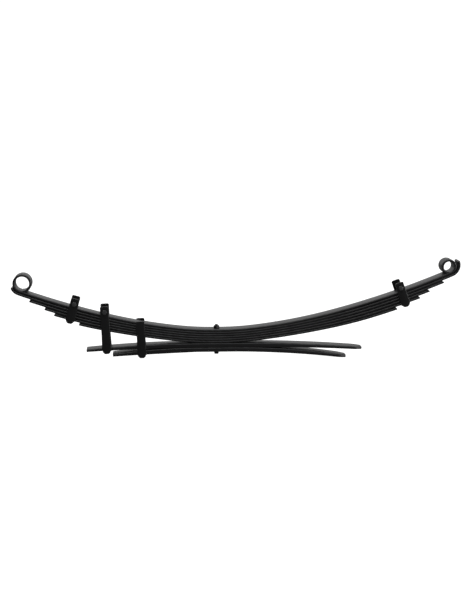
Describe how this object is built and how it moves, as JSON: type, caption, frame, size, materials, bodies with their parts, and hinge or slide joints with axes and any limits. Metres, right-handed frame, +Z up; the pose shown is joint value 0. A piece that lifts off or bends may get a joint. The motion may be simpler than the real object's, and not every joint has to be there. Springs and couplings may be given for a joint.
{
  "type": "leaf spring",
  "caption": "Semi-elliptic truck leaf spring: graduated main leaves with two eyes, overload leaves, rebound clips and a centre bolt.",
  "frame": {"origin": "bottom centre of the part's box, with the spring standing as it does under a truck, unloaded", "axes": "+X from the front (fixed) eye to the rear (shackle) eye, +Y across the leaves along the eyes, +Z up"},
  "size_m": [1.3681, 0.0888, 0.3021],
  "materials": {
    "spring_leaf": "satin black paint on spring steel",
    "clip_strap": "satin black paint",
    "rivet": "satin black paint",
    "fastener": "black phosphated steel",
    "liner": "black nylon"
  },
  "bodies": {
    "main_pack": {"main_leaf": "spring_leaf", "wrapper_leaf": "spring_leaf", "leaf_3": "spring_leaf", "leaf_4": "spring_leaf", "leaf_5": "spring_leaf", "leaf_6": "spring_leaf", "liner_3_front": "liner", "liner_3_rear": "liner", "liner_4_front": "liner", "liner_4_rear": "liner", "liner_5_front": "liner", "liner_5_rear": "liner", "liner_6_front": "liner", "liner_6_rear": "liner"},
    "axle_seat": {"centre_bolt": "fastener", "centre_nut": "fastener", "overload_leaf_upper": "spring_leaf", "overload_leaf_lower": "spring_leaf", "long_clip_strap": "clip_strap", "long_clip_rivet": "rivet", "long_clip_bolt": "fastener", "long_clip_nut": "fastener", "guide_clip_strap": "clip_strap", "guide_clip_rivet": "rivet"},
    "front_clip": {"front_clip_strap": "clip_strap", "front_clip_rivet": "rivet", "front_clip_bolt": "fastener", "front_clip_nut": "fastener"},
    "rear_clip": {"rear_clip_strap": "clip_strap", "rear_clip_rivet": "rivet", "rear_clip_bolt": "fastener", "rear_clip_nut": "fastener"},
    "front_clip_roller": {"front_clip_sleeve": "fastener"},
    "rear_clip_roller": {"rear_clip_sleeve": "fastener"},
    "long_clip_roller": {"long_clip_sleeve": "fastener"}
  },
  "joints": [
    {"name": "spring_travel", "type": "slide", "parent": "main_pack", "child": "axle_seat", "axis": [0, 0, 1], "range_m": [0, 0.06], "stiffness_N_per_m": 38000, "deforming": ["main_leaf", "wrapper_leaf", "leaf_3", "leaf_4", "leaf_5", "leaf_6", "liner_3_front", "liner_3_rear", "liner_4_front", "liner_4_rear", "liner_5_front", "liner_5_rear", "liner_6_front", "liner_6_rear"]},
    {"name": "front_clip_ride", "type": "slide", "parent": "main_pack", "child": "front_clip", "axis": [0, 0, 1], "range_m": [0, 0.0092]},
    {"name": "rear_clip_ride", "type": "slide", "parent": "main_pack", "child": "rear_clip", "axis": [0, 0, 1], "range_m": [0, 0.0051]},
    {"name": "front_roller_spin", "type": "hinge", "parent": "front_clip", "child": "front_clip_roller", "pos_m": [-0.49278, 0, 0.17408], "axis": [0, 1, 0], "continuous": true},
    {"name": "rear_roller_spin", "type": "hinge", "parent": "rear_clip", "child": "rear_clip_roller", "pos_m": [0.49965, 0, 0.21568], "axis": [0, 1, 0], "continuous": true},
    {"name": "long_roller_spin", "type": "hinge", "parent": "axle_seat", "child": "long_clip_roller", "pos_m": [-0.4021, 0, 0.14889], "axis": [0, 1, 0], "continuous": true}
  ],
  "couplings": [
    {"joint": "front_clip_ride", "follows": "spring_travel", "ratio": 0.1532},
    {"joint": "rear_clip_ride", "follows": "spring_travel", "ratio": 0.0838}
  ]
}
